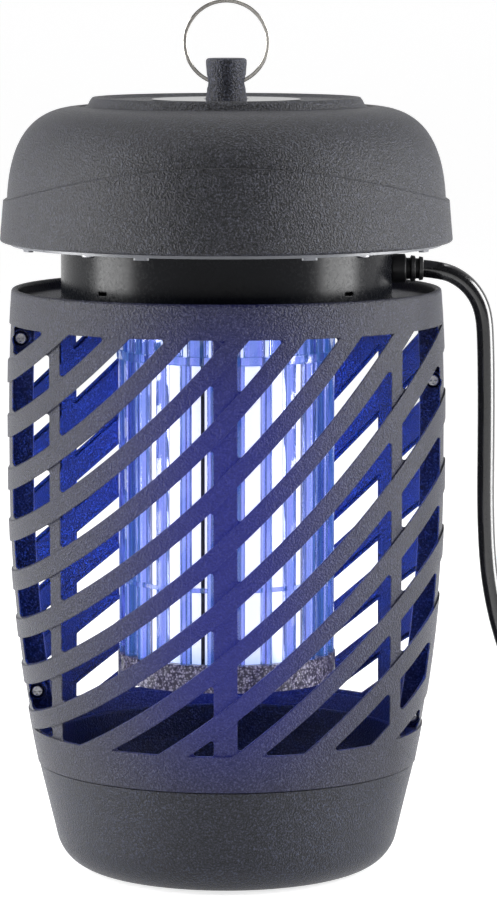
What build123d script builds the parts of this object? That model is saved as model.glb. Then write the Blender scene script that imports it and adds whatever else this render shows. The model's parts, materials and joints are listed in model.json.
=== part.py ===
"""Electric bug zapper: a slotted barrel cage round a clear killing grid and an ultraviolet lamp.

A domed cap with a hanging ring covers the electronics, a drum neck carries the mains cord,
and a cup-shaped collection tray pulls off downwards from the foot of the cage.
Millimetres. The origin is on the axis at floor level, +Z is up and the front faces -Y.
"""

import os
from math import cos, pi, radians, sin, sqrt, tan

from build123d import *

# ---- fits -------------------------------------------------------------------------------
FIT = 0.3  # gap between fixed pieces that are dropped into each other
PART_GAP = 0.35  # gap between the tray and the cage
SPLIT_GAP = 0.15  # each cage half stops this far from the split plane

# ---- collection tray --------------------------------------------------------------------
TRAY_H = 38.15
TRAY_TOP_R = 67.2
TRAY_BOTTOM_R = 58.0  # radius where the drafted wall would meet the floor
TRAY_CORNER_R = 15.0
TRAY_WALL = 2.2
SPIGOT_WALL = 1.8
SPIGOT_UP = 8.0  # height of the collar that slides inside the cage
FOOT_RECESS_R = 34.0
FOOT_RECESS = 0.8

# ---- cage barrel ------------------------------------------------------------------------
FOOT_Z = TRAY_H + PART_GAP
FOOT_R = 67.6
BELLY_R = 77.7
BELLY_LOW_Z = 140.0
BELLY_HIGH_Z = 165.0
RIM_Z = 207.0
RIM_R = 76.0
CAGE_WALL = 2.4
DECK_Z = 203.4
DECK_T = 2.2

# ---- slots between the slanted ribs -----------------------------------------------------
WINDOW_LOW_Z = 51.5
WINDOW_HIGH_Z = 195.0
SIDE_BAND = 2.7  # solid margin at the silhouette of each half
RIB_CENTRE_X = -299.0  # the ribs are arcs about one point, seen from the front
RIB_CENTRE_Z = 446.5
RIB_FIRST_R = 345.4  # inner radius of the first rib
RIB_PITCH = 15.15
RIB_W = 6.0
RIB_COUNT = 14
POST_W = 8.1  # upright at the middle of each half
SIDE_POST_W = 3.8
SIDE_POST_X = 58.8
INNER_STEP = 1.4  # each slot of the front half is this much wider at the inner face
REAR_INSET = 1.45  # each slot of the rear half is this much narrower outside its recess
REAR_SLOT_MIN_AREA = 40.0  # smaller recesses of the rear half have no slot
INNER_STEP_T = 0.8
RIB_PROUD = 0.6  # the slanted ribs stand this far proud of the uprights
SLOT_ROUND = 0.9

# ---- side flanges and screws that join the halves ---------------------------------------
FLANGE_DEPTH = 9.0
FLANGE_T = 2.8
BOSS_R = 3.4
BOSS_L = 9.0
BOSS_INSET = 4.6
CAGE_SCREW_L = 14.4
CAGE_SCREW_Z = {-1: (63.6, 189.7), 1: (54.5, 174.8)}  # side of the barrel: screw heights
SCREW_R = 1.25
SCREW_HEAD_R = 2.3
SCREW_HEAD_H = 1.6
SCREW_HOLE = 0.25  # clearance round a screw's shank
SCREW_BITE = 0.05  # clearance of a pilot hole
HEAD_POCKET = 2.2  # depth of the pocket for a cage screw's head

# ---- neck -------------------------------------------------------------------------------
NECK_R = 58.5
NECK_WALL = 2.4
NECK_TOP_Z = 222.4
NECK_FLANGE_R = 62.5
NECK_FLOOR_T = 2.4
NECK_SCREW_L = 11.0
GRID_SCREW_L = 6.2
LATCH_W = 4.2
LATCH_H = 1.3
LATCH_AZ = 46.6  # azimuth of the latch slots from the front and the back

# ---- cap --------------------------------------------------------------------------------
CAP_Z = 223.6
CAP_R = 78.7  # side of the dome at its bottom edge
CAP_BAND = 1.3  # the lower band stands this far proud of the dome
CAP_SHOULDER_Z = 239.0
CAP_SIDE_R = 77.4
CAP_TOP_Z = 271.2
CAP_TOP_R = 50.5
CAP_WALL = 2.2
CREASE_SIDE_Z = 236.8
CREASE_MID_Z = 252.8
CAP_RIM_R = 47.2
CAP_RIM_Z = 274.1
CAP_RIM_IN_R = 43.6
CAP_FLOOR_Z = 273.0
GROOVE_Z = 269.8

# ---- underside cover of the cap ---------------------------------------------------------
COVER_T = 2.2
COVER_R = CAP_R - CAP_WALL - FIT
COVER_HOLE_R = 46.0
COVER_LIP_H = 3.0
SNAP_COUNT = 8
SNAP_R = COVER_R - 2.0
SNAP_L, SNAP_W, SNAP_H = 5.6, 2.4, 0.9
CAP_SCREW_L = 13.0
BOARD_SCREW_L = 7.0

# ---- hanging post, disc and ring --------------------------------------------------------
DISC_R = 26.3
DISC_T = 0.5
POST_R = 7.2
POST_WAIST_R = 6.8
POST_FLARE_R = 7.7
POST_TOP_Z = 287.8
POST_SPIGOT_R = 4.0
POST_SCREW_L = 6.0
POST_SCREW_HEAD_R, POST_SCREW_HEAD_H = 7.0, 2.2
HOLE_Z = 279.6
HOLE_R = 2.5
RING_R = 14.6  # to the middle of the wire
RING_W = 1.3  # radial width of the wire
RING_TURN = 0.85  # thickness of one turn
RING_DROP = 0.95  # the lowest wire lies this far under the axis of the hole

# ---- grid column ------------------------------------------------------------------------
BAR_COUNT = 24
BAR_OUT_R = 38.4
BAR_DEPTH = 3.8
BAR_W = 3.4
BAR_LOW_Z = 77.5
BAR_HIGH_Z = 182.5
RING_MID_Z = 103.0
RING_MID_H = 1.6
RING_MID_INSET = 1.1
RING_TOP_H = 3.0
RING_TOP_PROUD = 0.6
CROWN_BLOCK_H = 8.0
CROWN_BLOCK_W = 6.6
CROWN_BLOCK_T = 3.4
BASE_H = 9.5
BASE_R = 38.8
BASE_WALL = 2.0
ROD_R = 0.8
ROD_CLEAR = 0.25
ROD_CIRCLE_R = BAR_OUT_R - BAR_DEPTH - ROD_R - ROD_CLEAR
BUS_OUT_R = ROD_CIRCLE_R + 0.5
BUS_T = 0.8
LEAD_R = 0.7

# ---- lamp -------------------------------------------------------------------------------
SLEEVE_R = 30.5
SLEEVE_WALL = 1.6
TUBE_R = 6.2
TUBE_AT = 9.4
TUBE_LOW_Z = 88.0
LAMP_BASE_R = 19.0
LAMP_BASE_H = 9.0
SOCKET_R = 17.0
SOCKET_H = 15.0

# ---- electronics ------------------------------------------------------------------------
BOARD_R = 53.0
BOARD_T = 1.6
STANDOFF_H = 7.4
STANDOFF_AT = 49.6
CORE_X, CORE_Y, CORE_Z = 30.0, 22.0, 24.0
CORE_LEG = 6.0
CAPACITOR_R = 6.0
CAPACITOR_H = 16.0
DIODE_R = 1.6
DIODE_L = 5.2
BLOCK_X, BLOCK_Y, BLOCK_Z = 12.0, 22.0, 9.0
BLOCK_AT = 34.0
WIRE_R = 0.9

# ---- mains cord and plug ----------------------------------------------------------------
CORD_D = 6.2
CORD_Z = 213.7
EXIT_X = 69.5
RELIEF_R = 5.2
RELIEF_TIP_R = 4.0
COIL_X, COIL_Y = 165.0, 42.0
COIL_OUT_R = 45.0
COIL_IN_R = COIL_OUT_R - 3 * CORD_D
COIL_H = 2 * CORD_D
PLUG_X = COIL_X - COIL_OUT_R + CORD_D / 2
PLUG_Y = 3.0
PLUG_L = 34.0
PLUG_W = 24.0
PLUG_T = 15.0
PLUG_WAIST = 17.0
PLUG_NECK = 10.0
PLUG_ROUND = 4.4
BLADE_L, BLADE_W, BLADE_T, BLADE_GAP = 16.0, 6.3, 1.5, 12.7

# Corners of the lead's route from the gland to its coil.
CORD_ROUTE = [
    (EXIT_X, 0.0, CORD_Z),
    (76.4, 0.0, 213.1),
    (83.0, 0.1, 210.1),
    (88.1, 0.1, 205.0),
    (91.3, 0.2, 197.6),
    (92.0, 0.2, 185.0),
    (92.3, 0.3, 161.0),
    (92.1, 0.3, 122.0),
    (94.3, 0.2, 97.0),
    (101.0, 0.2, 73.0),
    (111.5, 0.1, 51.0),
    (124.0, 0.1, 30.5),
    (139.0, 0.0, 12.0),
    (158.0, -0.1, 3.2),
]
# Corners of the short tail from the coil to the plug.
TAIL_ROUTE = [
    (PLUG_X, COIL_Y - 4.0, 9.3),
    (PLUG_X, 24.0, 9.3),
    (PLUG_X + 0.3, 14.0, 8.2),
    (PLUG_X, PLUG_Y, 7.6),
]


def barrel_radius(z, inset=0.0):
    """Outer radius of the barrel at a height, less an inset."""
    if z < BELLY_LOW_Z:
        rise, drop = BELLY_LOW_Z - FOOT_Z, BELLY_R - FOOT_R
        away = BELLY_LOW_Z - z
    else:
        rise, drop = RIM_Z - BELLY_HIGH_Z, BELLY_R - RIM_R
        away = max(0.0, z - BELLY_HIGH_Z)
    arc = (rise**2 + drop**2) / (2 * drop)
    return BELLY_R - inset - (arc - sqrt(arc**2 - away**2))


def barrel_line(inset, low, high):
    """Upright line up the barrel wall, drawn in the current line builder."""
    middle_low, middle_high = (low + BELLY_LOW_Z) / 2, (BELLY_HIGH_Z + high) / 2
    lower = ThreePointArc(
        (barrel_radius(low, inset), low),
        (barrel_radius(middle_low, inset), middle_low),
        (BELLY_R - inset, BELLY_LOW_Z),
    )
    Line(lower @ 1, (BELLY_R - inset, BELLY_HIGH_Z))
    upper = ThreePointArc(
        (BELLY_R - inset, BELLY_HIGH_Z),
        (barrel_radius(middle_high, inset), middle_high),
        (barrel_radius(high, inset), high),
    )
    return lower @ 0, upper @ 1


def barrel_shell(outer_inset, inner_inset, low, high):
    """A ring of the barrel wall between two insets."""
    with BuildPart() as shell:
        with BuildSketch(Plane.XZ):
            with BuildLine():
                outer_low, outer_high = barrel_line(outer_inset, low, high)
                inner_low, inner_high = barrel_line(inner_inset, low, high)
                Line(outer_low, inner_low)
                Line(outer_high, inner_high)
            make_face()
        revolve(axis=Axis.Z)
    return shell.part


def finish(piece, name):
    """Label a finished piece and write it to its own file."""
    piece.label = name
    export_step(piece, f"parts/{name}.step")


def polar(radius, azimuth, z=0.0):
    """Point at a radius and an azimuth counted from +X."""
    return (radius * cos(radians(azimuth)), radius * sin(radians(azimuth)), z)


def screw(plane, shank_l, head_r=SCREW_HEAD_R, head_h=SCREW_HEAD_H):
    """Pan-head cross-recess screw; the plane lies under its head and points out of the head."""
    with BuildPart() as body:
        with BuildSketch(plane):
            Circle(head_r)
        extrude(amount=head_h)
        fillet(body.faces().sort_by(Axis(plane.origin, plane.z_dir))[-1].edges(), head_h * 0.45)
        with BuildSketch(plane):
            Circle(SCREW_R)
        extrude(amount=-shank_l)
        with BuildSketch(plane.offset(head_h)):
            Rectangle(head_r * 1.1, head_r * 0.28)
            Rectangle(head_r * 0.28, head_r * 1.1)
        extrude(amount=-head_h * 0.6, mode=Mode.SUBTRACT)
    return body.part


def group(pieces):
    """Separate solids kept together in one node."""
    return Compound(children=[solid for piece in pieces for solid in piece.solids()])


def tube(points, diameter, name):
    """Round tube along straight runs joined by the largest tangent arcs."""
    runs = [Vector(b) - Vector(a) for a, b in zip(points, points[1:])]
    bends = []
    for before, after in zip(runs, runs[1:]):
        half_turn = radians(before.get_angle(after) / 2)
        bends.append(0.45 * min(before.length, after.length) / tan(half_turn))
    with BuildPart() as sleeve:
        with BuildLine() as path:
            FilletPolyline(*points, radius=bends)
        with BuildSketch(Plane(origin=points[0], z_dir=runs[0])):
            Circle(diameter / 2)
        sweep(path=path.wires()[0])
    ideal = pi * diameter**2 / 4 * path.wires()[0].length
    print(name, "bend radii", [round(r, 1) for r in bends])
    print(name, "volume over section times length", round(sleeve.part.volume / ideal, 4))
    return sleeve.part


os.makedirs("parts", exist_ok=True)

# ---- collection tray: cup with a collar that slides up inside the cage ------------------
SPIGOT_R = FOOT_R - CAGE_WALL - PART_GAP
with BuildPart() as collection_tray:
    with BuildSketch(Plane.XZ):
        with BuildLine():
            Polyline((0, 0), (TRAY_BOTTOM_R, 0), (TRAY_TOP_R, TRAY_H), (0, TRAY_H), (0, 0))
        make_face()
    revolve(axis=Axis.Z)
    fillet(collection_tray.edges().filter_by(GeomType.CIRCLE).group_by(Axis.Z)[0], TRAY_CORNER_R)
    with BuildSketch(Plane.XZ) as cavity:
        with BuildLine():
            Polyline(
                (0, TRAY_WALL),
                (TRAY_BOTTOM_R - TRAY_WALL, TRAY_WALL),
                (SPIGOT_R - SPIGOT_WALL, TRAY_H - 4),
                (SPIGOT_R - SPIGOT_WALL, TRAY_H),
                (0, TRAY_H),
                (0, TRAY_WALL),
            )
        make_face()
        corner = cavity.vertices().sort_by(Axis.X)[-3:].sort_by(Axis.Z)[0]
        fillet(corner, TRAY_CORNER_R - TRAY_WALL)
    revolve(axis=Axis.Z, mode=Mode.SUBTRACT)
    with BuildSketch(Plane.XY.offset(TRAY_H)):
        Circle(SPIGOT_R)
        Circle(SPIGOT_R - SPIGOT_WALL, mode=Mode.SUBTRACT)
    extrude(amount=SPIGOT_UP)
    fillet(collection_tray.faces().sort_by(Axis.Z)[-1].edges(), SPIGOT_WALL * 0.4)
    with BuildSketch(Plane.XY):
        Circle(FOOT_RECESS_R)
    extrude(amount=FOOT_RECESS, mode=Mode.SUBTRACT)
finish(collection_tray.part, "collection_tray")

# ---- cage halves ------------------------------------------------------------------------
def window_outline(inset):
    """Front view of the slotted zone, closed at the sides by the barrel's silhouette."""
    with BuildSketch(Plane.XZ) as outline:
        with BuildLine():
            right_low, right_high = barrel_line(inset, WINDOW_LOW_Z, WINDOW_HIGH_Z)
            Line(right_low, (0, WINDOW_LOW_Z))
            Line(right_high, (0, WINDOW_HIGH_Z))
            Line((0, WINDOW_LOW_Z), (0, WINDOW_HIGH_Z))
        make_face()
        mirror(about=Plane.YZ)
    return outline.sketch


# The slanted ribs, drawn flat in the front view from the largest arc inwards.
with BuildSketch(Plane.XZ) as slanted_ribs:
    for index in reversed(range(RIB_COUNT)):
        with Locations((RIB_CENTRE_X, RIB_CENTRE_Z)):
            Circle(RIB_FIRST_R + index * RIB_PITCH + RIB_W)
            Circle(RIB_FIRST_R + index * RIB_PITCH, mode=Mode.SUBTRACT)

with BuildSketch(Plane.XZ) as uprights:
    with Locations((0, RIM_Z / 2)):
        Rectangle(POST_W, RIM_Z)
    with Locations((-SIDE_POST_X, RIM_Z / 2), (SIDE_POST_X, RIM_Z / 2)):
        Rectangle(SIDE_POST_W, RIM_Z)

with BuildSketch(Plane.XZ) as relief_area:
    add(window_outline(-1.0))
    add(slanted_ribs.sketch, mode=Mode.SUBTRACT)

with BuildSketch(Plane.XZ) as sharp_slots:
    add(window_outline(SIDE_BAND))
    add(slanted_ribs.sketch, mode=Mode.SUBTRACT)
    add(uprights.sketch, mode=Mode.SUBTRACT)


def rounded(face, radius):
    """The same opening with its corners rounded."""
    smaller = offset(face, amount=-radius, kind=Kind.INTERSECTION, mode=Mode.PRIVATE)
    return offset(smaller, amount=radius, kind=Kind.ARC, mode=Mode.PRIVATE)


FRONT = (0, -1, 0)
with BuildSketch(Plane.XZ) as slots:
    add([rounded(face, SLOT_ROUND) for face in sharp_slots.sketch.faces()])
with BuildSketch(Plane.XZ) as wide_slots:
    add([offset(slot, amount=INNER_STEP, mode=Mode.PRIVATE) for slot in slots.sketch.faces()])
with BuildSketch(Plane.XZ) as narrow_slots:
    add(
        [
            offset(slot, amount=-REAR_INSET, kind=Kind.INTERSECTION, mode=Mode.PRIVATE)
            for slot in slots.sketch.faces()
            if slot.area > REAR_SLOT_MIN_AREA
        ]
    )

# Shallow pockets outside, which leave the slanted ribs proud of the uprights.
with BuildPart() as relief:
    extrude(relief_area.sketch, amount=BELLY_R + 5, dir=FRONT)
    add(barrel_shell(-1.0, RIB_PROUD, FOOT_Z, RIM_Z), mode=Mode.INTERSECT)

with BuildPart() as flanges:
    add(barrel_shell(CAGE_WALL / 2, FLANGE_DEPTH, WINDOW_LOW_Z - 2, DECK_Z - DECK_T))
    with Locations((0, -SPLIT_GAP - FLANGE_T / 2, RIM_Z / 2)):
        Box(4 * BELLY_R, FLANGE_T, RIM_Z, mode=Mode.INTERSECT)

boss_places = [
    (side * (barrel_radius(z) - BOSS_INSET), -SPLIT_GAP, z)
    for side, heights in CAGE_SCREW_Z.items()
    for z in heights
]



def half_barrel(openings, recesses):
    """The half of the barrel towards -Y: openings through the wall, each in a wider recess inside."""
    with BuildPart() as inner_steps:
        extrude(recesses, amount=BELLY_R + 5, dir=FRONT)
        add(barrel_shell(CAGE_WALL - INNER_STEP_T, CAGE_WALL + 1, FOOT_Z, RIM_Z), mode=Mode.INTERSECT)
    with BuildPart() as half:
        add(barrel_shell(0, CAGE_WALL, FOOT_Z, RIM_Z))
        fillet(half.edges().filter_by(GeomType.CIRCLE).group_by(Axis.Z)[-1], CAGE_WALL * 0.45)
        extrude(openings, amount=BELLY_R + 5, dir=FRONT, mode=Mode.SUBTRACT)
        add(relief.part, mode=Mode.SUBTRACT)
        add(inner_steps.part, mode=Mode.SUBTRACT)
        with BuildSketch(Plane.XY.offset(DECK_Z - DECK_T)):
            Circle(barrel_radius(DECK_Z, CAGE_WALL / 2))
            Circle(NECK_R + FIT, mode=Mode.SUBTRACT)
        extrude(amount=DECK_T)
        split(bisect_by=Plane.XZ.offset(SPLIT_GAP), keep=Keep.TOP)
        add(flanges.part)
        for place in boss_places:
            with BuildSketch(Plane(origin=place, z_dir=FRONT)):
                Circle(BOSS_R)
            extrude(amount=BOSS_L)
    return half.part


with BuildPart() as cage_front:
    add(half_barrel(slots.sketch, wide_slots.sketch))
    for place in boss_places:
        with Locations(Plane(origin=place, z_dir=FRONT).offset(BOSS_L)):
            CounterBoreHole(SCREW_R + SCREW_HOLE, SCREW_HEAD_R + FIT, HEAD_POCKET, depth=BOSS_L + 1)
finish(cage_front.part, "cage_front")

with BuildPart() as cage_rear:
    add(half_barrel(narrow_slots.sketch, slots.sketch).mirror(Plane.XZ))
    for x, y, z in boss_places:
        with Locations(Plane(origin=(x, -y, z), z_dir=FRONT)):
            Hole(SCREW_R + SCREW_BITE, depth=BOSS_L - 1.5)
finish(cage_rear.part, "cage_rear")

cage_screws = [
    screw(Plane(origin=place, z_dir=FRONT).offset(BOSS_L - HEAD_POCKET), CAGE_SCREW_L)
    for place in boss_places
]
finish(group(cage_screws), "cage_screws")

# ---- neck: glossy drum with a floor, trapped under the deck of the cage -----------------
NECK_FLOOR_Z = DECK_Z - DECK_T - NECK_FLOOR_T
NECK_FLOOR_TOP_Z = NECK_FLOOR_Z + NECK_FLOOR_T
NECK_BOSS_AZ = (90, 210, 330)
NECK_BOSS_AT = NECK_R - NECK_WALL - 2.5
GRID_SCREW_AZ = (30, 150, 270)
GRID_SCREW_AT = BAR_OUT_R - BAR_DEPTH / 2
LIVE_LEAD_AT = polar(ROD_CIRCLE_R, 100)
RETURN_LEAD_AT = polar(SLEEVE_R + LEAD_R + 0.2, 255)
with BuildPart() as neck:
    with BuildSketch(Plane.XY.offset(NECK_FLOOR_Z)):
        Circle(NECK_FLANGE_R)
    extrude(amount=NECK_FLOOR_T)
    with BuildSketch(Plane.XY.offset(NECK_FLOOR_Z)):
        Circle(NECK_R)
    extrude(amount=NECK_TOP_Z - NECK_FLOOR_Z)
    with BuildSketch(Plane.XY.offset(NECK_FLOOR_TOP_Z)):
        Circle(NECK_R - NECK_WALL)
    extrude(amount=NECK_TOP_Z - NECK_FLOOR_Z, mode=Mode.SUBTRACT)
    for azimuth in NECK_BOSS_AZ:
        with BuildSketch(Plane.XY.offset(NECK_FLOOR_TOP_Z)):
            with Locations(polar(NECK_BOSS_AT, azimuth)):
                Circle(BOSS_R)
        extrude(amount=NECK_TOP_Z - NECK_FLOOR_TOP_Z)
        with Locations(polar(NECK_BOSS_AT, azimuth, NECK_TOP_Z)):
            Hole(SCREW_R + SCREW_BITE, depth=NECK_SCREW_L + 1)
    with Locations((0, 0, NECK_FLOOR_TOP_Z)):
        Hole(SOCKET_R + FIT, depth=NECK_FLOOR_T)
    for azimuth in GRID_SCREW_AZ:
        with Locations(polar(GRID_SCREW_AT, azimuth, NECK_FLOOR_TOP_Z)):
            Hole(SCREW_R + SCREW_HOLE, depth=NECK_FLOOR_T)
    for azimuth in (-90 - LATCH_AZ, -90 + LATCH_AZ, 90 - LATCH_AZ, 90 + LATCH_AZ):
        with Locations(Location(polar(NECK_R, azimuth, DECK_Z + 4.4), (0, 0, azimuth))):
            Box(2 * NECK_WALL, LATCH_W, LATCH_H, mode=Mode.SUBTRACT)
    with Locations(Plane(origin=(NECK_R, 0, CORD_Z), z_dir=(1, 0, 0))):
        Hole(RELIEF_R - 1.0 + 0.1, depth=3 * NECK_WALL)
    for x, y, _ in (LIVE_LEAD_AT, RETURN_LEAD_AT):
        with Locations((x, y, NECK_FLOOR_TOP_Z)):
            Hole(LEAD_R + 0.2, depth=NECK_FLOOR_T)
finish(neck.part, "neck")

# ---- underside cover of the cap ---------------------------------------------------------
CAP_SCREW_AZ = (45, 135, 225, 315)
CAP_SCREW_AT = 66.5
STANDOFF_AZ = (30, 150, 270)
COVER_TOP_Z = NECK_TOP_Z + COVER_T
BOARD_Z = COVER_TOP_Z + STANDOFF_H
with BuildPart() as cap_cover:
    with BuildSketch(Plane.XY.offset(NECK_TOP_Z)):
        Circle(COVER_R)
        Circle(COVER_HOLE_R, mode=Mode.SUBTRACT)
    extrude(amount=COVER_T)
    with BuildSketch(Plane.XY.offset(COVER_TOP_Z)):
        Circle(COVER_R - CAP_WALL)
        Circle(COVER_R - 2 * CAP_WALL, mode=Mode.SUBTRACT)
    extrude(amount=COVER_LIP_H)
    with BuildSketch(Plane.XY.offset(NECK_TOP_Z - SNAP_H)):
        with PolarLocations(SNAP_R, SNAP_COUNT, 360 / SNAP_COUNT / 2):
            SlotOverall(SNAP_L, SNAP_W, rotation=90)
    extrude(amount=SNAP_H)
    with BuildSketch(Plane.XY.offset(COVER_TOP_Z)):
        with Locations(*[polar(STANDOFF_AT, azimuth) for azimuth in STANDOFF_AZ]):
            Circle(3.0)
    extrude(amount=STANDOFF_H)
    with Locations(*[polar(STANDOFF_AT, azimuth, BOARD_Z) for azimuth in STANDOFF_AZ]):
        Hole(SCREW_R + SCREW_BITE, depth=STANDOFF_H)
    with Locations(*[polar(NECK_BOSS_AT, azimuth, COVER_TOP_Z) for azimuth in NECK_BOSS_AZ]):
        Hole(SCREW_R + SCREW_HOLE, depth=COVER_T)
    with Locations(*[polar(CAP_SCREW_AT, azimuth, COVER_TOP_Z) for azimuth in CAP_SCREW_AZ]):
        Hole(SCREW_R + SCREW_HOLE, depth=COVER_T)
finish(cap_cover.part, "cap_cover")

neck_screws = [
    screw(Plane(polar(NECK_BOSS_AT, azimuth, COVER_TOP_Z)), NECK_SCREW_L)
    for azimuth in NECK_BOSS_AZ
]
finish(group(neck_screws), "neck_screws")


# ---- cap: dome, arched lower band, raised rim and shallow recess ------------------------
def cap_profile(inset, band):
    """Half section of the dome, thinner by the inset and wider below by the band."""
    top = CAP_TOP_Z - inset
    with BuildSketch(Plane.XZ) as section:
        with BuildLine():
            foot = (CAP_R - inset + band, CAP_Z)
            shoulder = (CAP_SIDE_R - inset + band, CAP_SHOULDER_Z)
            Line((0, CAP_Z), foot)
            Line(foot, shoulder)
            Bezier(
                shoulder,
                (CAP_SIDE_R - 0.9 - inset + band, CAP_SHOULDER_Z + 18.4),
                (CAP_TOP_R + 19.5, top),
                (CAP_TOP_R, top - 0.2),
            )
            Line((CAP_TOP_R, top - 0.2), (0, top - 0.2))
            Line((0, top - 0.2), (0, CAP_Z))
        make_face()
    return section.sketch


with BuildPart() as lower_band:
    add(cap_profile(0, CAP_BAND))
    revolve(axis=Axis.Z)
    with BuildSketch(Plane.XZ):
        with BuildLine():
            crease = ThreePointArc(
                (-CAP_R - 3, CREASE_SIDE_Z), (0, CREASE_MID_Z), (CAP_R + 3, CREASE_SIDE_Z)
            )
            Polyline(crease @ 1, (CAP_R + 3, CAP_Z), (-CAP_R - 3, CAP_Z), crease @ 0)
        make_face()
    extrude(amount=CAP_R + 5, both=True, mode=Mode.INTERSECT)

with BuildPart() as cap_envelope:
    add(cap_profile(0.1, 0))
    revolve(axis=Axis.Z)

with BuildPart() as cap_bosses:
    with BuildSketch(Plane.XY.offset(COVER_TOP_Z)):
        with Locations(*[polar(CAP_SCREW_AT, azimuth) for azimuth in CAP_SCREW_AZ]):
            Circle(BOSS_R)
    extrude(amount=CAP_TOP_Z - COVER_TOP_Z)
    add(cap_envelope.part, mode=Mode.INTERSECT)

with BuildPart() as cap:
    add(cap_profile(0, 0))
    revolve(axis=Axis.Z)
    add(lower_band.part)
    fillet(cap.edges().group_by(Axis.Z)[0], 0.9)
    with BuildSketch(Plane.XZ):
        with BuildLine():
            Polyline(
                (0, CAP_TOP_Z - 2 * CAP_WALL),
                (CAP_RIM_R + 4.4, CAP_TOP_Z - 2 * CAP_WALL),
                (CAP_RIM_R + 4.4, GROOVE_Z),
                (CAP_RIM_R + 2.4, GROOVE_Z),
                (CAP_RIM_R + 0.8, CAP_RIM_Z - 1.0),
                (CAP_RIM_R, CAP_RIM_Z),
                (CAP_RIM_R - 1.4, CAP_RIM_Z),
                (CAP_RIM_IN_R, CAP_FLOOR_Z),
                (0, CAP_FLOOR_Z),
                (0, CAP_TOP_Z - 2 * CAP_WALL),
            )
        make_face()
    revolve(axis=Axis.Z)
    with BuildSketch(Plane.XZ):
        with Locations((CAP_RIM_R + 3.6, CAP_TOP_Z + 0.6)):
            Circle(1.5)
    revolve(axis=Axis.Z, mode=Mode.SUBTRACT)
    add(cap_profile(CAP_WALL, 0))
    revolve(axis=Axis.Z, mode=Mode.SUBTRACT)
    add(cap_bosses.part)
    with Locations(*[polar(CAP_SCREW_AT, azimuth, COVER_TOP_Z) for azimuth in CAP_SCREW_AZ]):
        Cylinder(SCREW_R + SCREW_BITE, 2 * (CAP_SCREW_L - 1), mode=Mode.SUBTRACT)
    with Locations((0, 0, CAP_FLOOR_Z)):
        Hole(POST_SPIGOT_R + 0.1, depth=8)
finish(cap.part, "cap")

cap_screws = [
    screw(Plane(origin=polar(CAP_SCREW_AT, azimuth, NECK_TOP_Z), z_dir=(0, 0, -1)), CAP_SCREW_L)
    for azimuth in CAP_SCREW_AZ
]
finish(group(cap_screws), "cap_screws")

# ---- hanging post, its screw, the disc and the split ring -------------------------------
CAP_CEILING_Z = CAP_TOP_Z - 0.2 - CAP_WALL
with BuildPart() as hang_post:
    with BuildSketch(Plane.XZ):
        with BuildLine():
            Line((0, CAP_FLOOR_Z), (POST_FLARE_R, CAP_FLOOR_Z))
            flank = Spline(
                (POST_FLARE_R, CAP_FLOOR_Z),
                (POST_WAIST_R, CAP_FLOOR_Z + 5.5),
                (POST_R, POST_TOP_Z - 2.0),
                tangents=[(-0.6, 1), (0.1, 1)],
            )
            Line(flank @ 1, (POST_R, POST_TOP_Z))
            Line((POST_R, POST_TOP_Z), (0, POST_TOP_Z))
            Line((0, POST_TOP_Z), (0, CAP_FLOOR_Z))
        make_face()
    revolve(axis=Axis.Z)
    fillet(hang_post.edges().filter_by(GeomType.CIRCLE).group_by(Axis.Z)[-1], 1.1)
    with BuildSketch(Plane.XY.offset(CAP_CEILING_Z)):
        Circle(POST_SPIGOT_R)
    extrude(amount=CAP_FLOOR_Z - CAP_CEILING_Z)
    with Locations(Plane(origin=(-2 * POST_R, 0, HOLE_Z), z_dir=(-1, 0, 0))):
        Hole(HOLE_R, depth=4 * POST_R)
    with Locations(Plane(origin=(0, 0, CAP_CEILING_Z), z_dir=(0, 0, -1))):
        Hole(SCREW_R + SCREW_BITE, depth=POST_SCREW_L + 1)
finish(hang_post.part, "hang_post")

post_screw = screw(
    Plane(origin=(0, 0, CAP_CEILING_Z), z_dir=(0, 0, -1)),
    POST_SCREW_L,
    head_r=POST_SCREW_HEAD_R,
    head_h=POST_SCREW_HEAD_H,
)
finish(post_screw, "post_screw")

with BuildPart() as top_disc:
    with BuildSketch(Plane.XY.offset(CAP_FLOOR_Z)):
        Circle(DISC_R)
        Circle(POST_FLARE_R + 0.2, mode=Mode.SUBTRACT)
    extrude(amount=DISC_T)
    chamfer(top_disc.faces().sort_by(Axis.Z)[-1].edges(), DISC_T * 0.3)
finish(top_disc.part, "top_disc")

RING_CENTRE_Z = HOLE_Z - RING_DROP + RING_R
with BuildPart() as hang_ring:
    with BuildLine() as coil:
        Helix(
            RING_TURN + 0.04,
            2 * (RING_TURN + 0.04),
            RING_R,
            center=(0, -RING_TURN - 0.04, RING_CENTRE_Z),
            direction=(0, 1, 0),
        )
    with BuildSketch(Plane(origin=coil.line @ 0, z_dir=coil.line % 0, x_dir=(0, 1, 0))):
        RectangleRounded(RING_TURN, RING_W, 0.25)
    sweep(path=coil.wires()[0], is_frenet=True)
finish(hang_ring.part, "hang_ring")

# ---- grid column: clear frame, crown and frosted base -----------------------------------
with BuildPart() as grid_frame:
    with BuildSketch(Plane.XY.offset(BAR_LOW_Z)):
        with PolarLocations(BAR_OUT_R - BAR_DEPTH / 2, BAR_COUNT, 180 / BAR_COUNT):
            RectangleRounded(BAR_DEPTH, BAR_W, 0.7)
    extrude(amount=BAR_HIGH_Z - BAR_LOW_Z)
    with BuildSketch(Plane.XY.offset(BAR_HIGH_Z)):
        Circle(BAR_OUT_R + RING_TOP_PROUD)
        Circle(BAR_OUT_R - BAR_DEPTH + RING_TOP_PROUD, mode=Mode.SUBTRACT)
    extrude(amount=RING_TOP_H)
    with BuildSketch(Plane.XY.offset(RING_MID_Z)):
        Circle(BAR_OUT_R - RING_MID_INSET)
        Circle(BAR_OUT_R - BAR_DEPTH + RING_MID_INSET, mode=Mode.SUBTRACT)
    extrude(amount=RING_MID_H)
finish(grid_frame.part, "grid_frame")

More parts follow.
